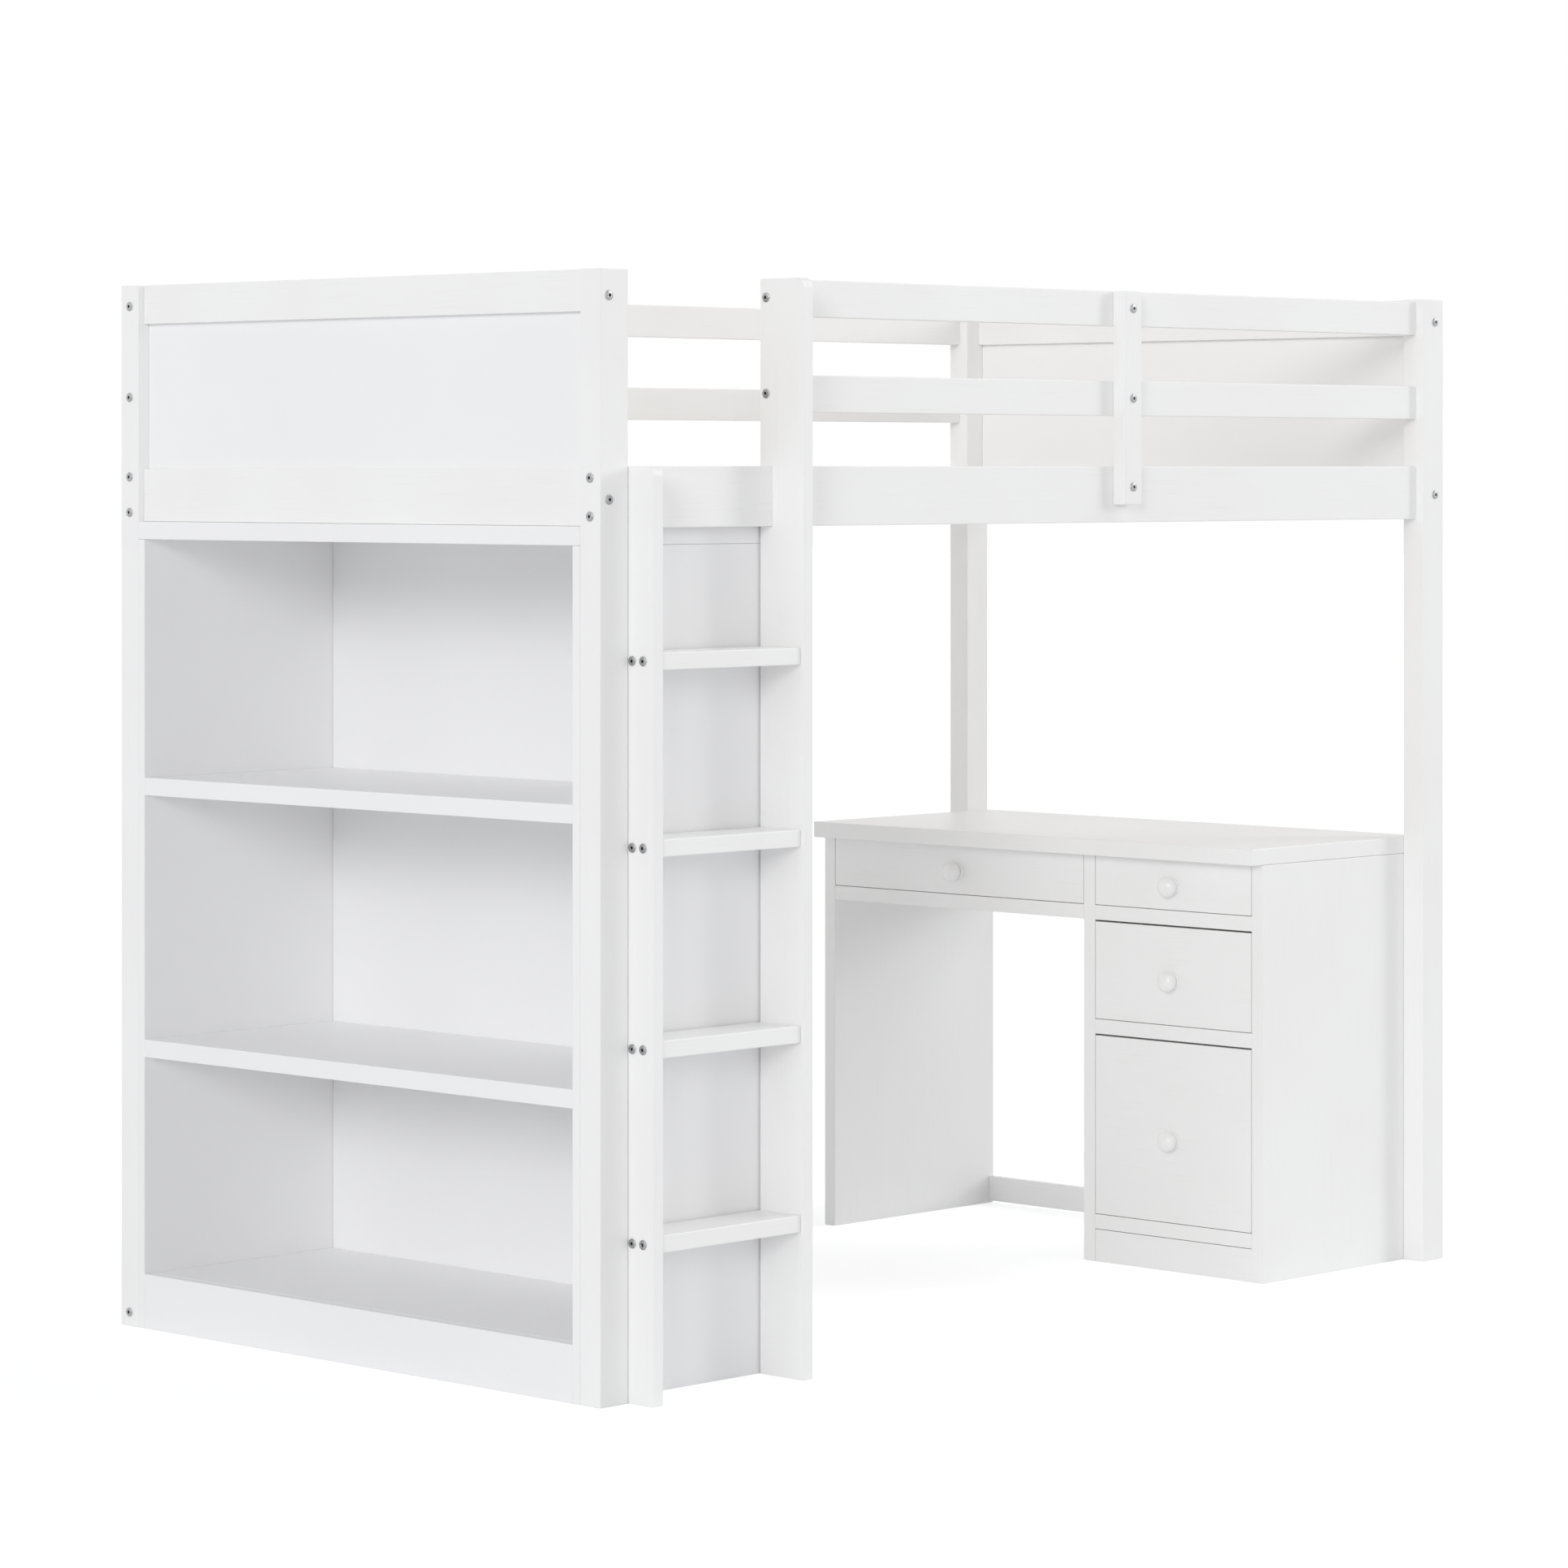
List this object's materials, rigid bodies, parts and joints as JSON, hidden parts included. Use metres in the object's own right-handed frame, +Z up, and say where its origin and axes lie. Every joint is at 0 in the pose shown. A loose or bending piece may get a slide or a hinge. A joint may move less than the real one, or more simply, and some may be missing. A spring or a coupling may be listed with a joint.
{
  "type": "loft bed with desk",
  "caption": "White wooden loft bed for one sleeper, with a ladder and guard rails, an end bookcase and a desk with drawers standing under the raised bed.",
  "frame": {"origin": "the bottom centre of the bed's box, on the floor", "axes": "+X along the bed from the bookcase end to the desk end, +Y from the ladder side to the wall side, +Z up"},
  "size_m": [2.02, 1.1396, 1.647],
  "materials": {
    "lacquer": "satin white lacquer on solid wood",
    "board": "satin white coated board",
    "knob": "semi-gloss white lacquer on turned wood",
    "tray": "matt white coated board",
    "steel": "zinc-plated steel, for the bolt heads",
    "webbing": "woven polyester strap, for the slats",
    "pine": "bare planed pine"
  },
  "bodies": {
    "bed": {"post_front_left": "lacquer", "post_front_right": "lacquer", "post_back_left": "lacquer", "post_back_right": "lacquer", "side_rail_front": "lacquer", "side_rail_back": "lacquer", "guard_rail_front_top": "lacquer", "guard_rail_front_middle": "lacquer", "guard_rail_back_top": "lacquer", "guard_rail_back_middle": "lacquer", "guard_post": "lacquer", "headboard_top_rail": "lacquer", "headboard_low_rail": "lacquer", "footboard_top_rail": "lacquer", "footboard_low_rail": "lacquer", "ladder_stringer_left": "lacquer", "ladder_stringer_right": "lacquer", "ladder_rung_1": "lacquer", "ladder_rung_2": "lacquer", "ladder_rung_3": "lacquer", "ladder_rung_4": "lacquer", "desk_top": "lacquer", "desk_side_front": "lacquer", "desk_divider": "lacquer", "desk_side_back": "lacquer", "pedestal_shelf_upper": "lacquer", "pedestal_shelf_middle": "lacquer", "pedestal_shelf_lower": "lacquer", "wide_drawer_shelf": "lacquer", "kick_board": "lacquer", "desk_stretcher": "lacquer", "desk_back_apron": "lacquer", "headboard_panel": "board", "footboard_panel": "board", "bookcase_top": "board", "bookcase_side_front": "board", "bookcase_side_back": "board", "bookcase_shelf_lower": "board", "bookcase_shelf_upper": "board", "bookcase_plinth": "board", "bookcase_floor": "board", "bookcase_back": "board", "pedestal_back": "board", "slat_ledger_front": "pine", "slat_ledger_back": "pine", "slat_roll": "pine"},
    "wide_drawer": {"wide_drawer_front": "lacquer", "wide_drawer_tray": "tray", "wide_drawer_knob": "knob"},
    "top_drawer": {"top_drawer_front": "lacquer", "top_drawer_tray": "tray", "top_drawer_knob": "knob"},
    "middle_drawer": {"middle_drawer_front": "lacquer", "middle_drawer_tray": "tray", "middle_drawer_knob": "knob"},
    "bottom_drawer": {"bottom_drawer_front": "lacquer", "bottom_drawer_tray": "tray", "bottom_drawer_knob": "knob"}
  },
  "joints": [
    {"name": "wide_drawer_slide", "type": "slide", "parent": "bed", "child": "wide_drawer", "axis": [-1, 0, 0], "range_m": [0, 0.3]},
    {"name": "top_drawer_slide", "type": "slide", "parent": "bed", "child": "top_drawer", "axis": [-1, 0, 0], "range_m": [0, 0.3]},
    {"name": "middle_drawer_slide", "type": "slide", "parent": "bed", "child": "middle_drawer", "axis": [-1, 0, 0], "range_m": [0, 0.3]},
    {"name": "bottom_drawer_slide", "type": "slide", "parent": "bed", "child": "bottom_drawer", "axis": [-1, 0, 0], "range_m": [0, 0.3]}
  ]
}
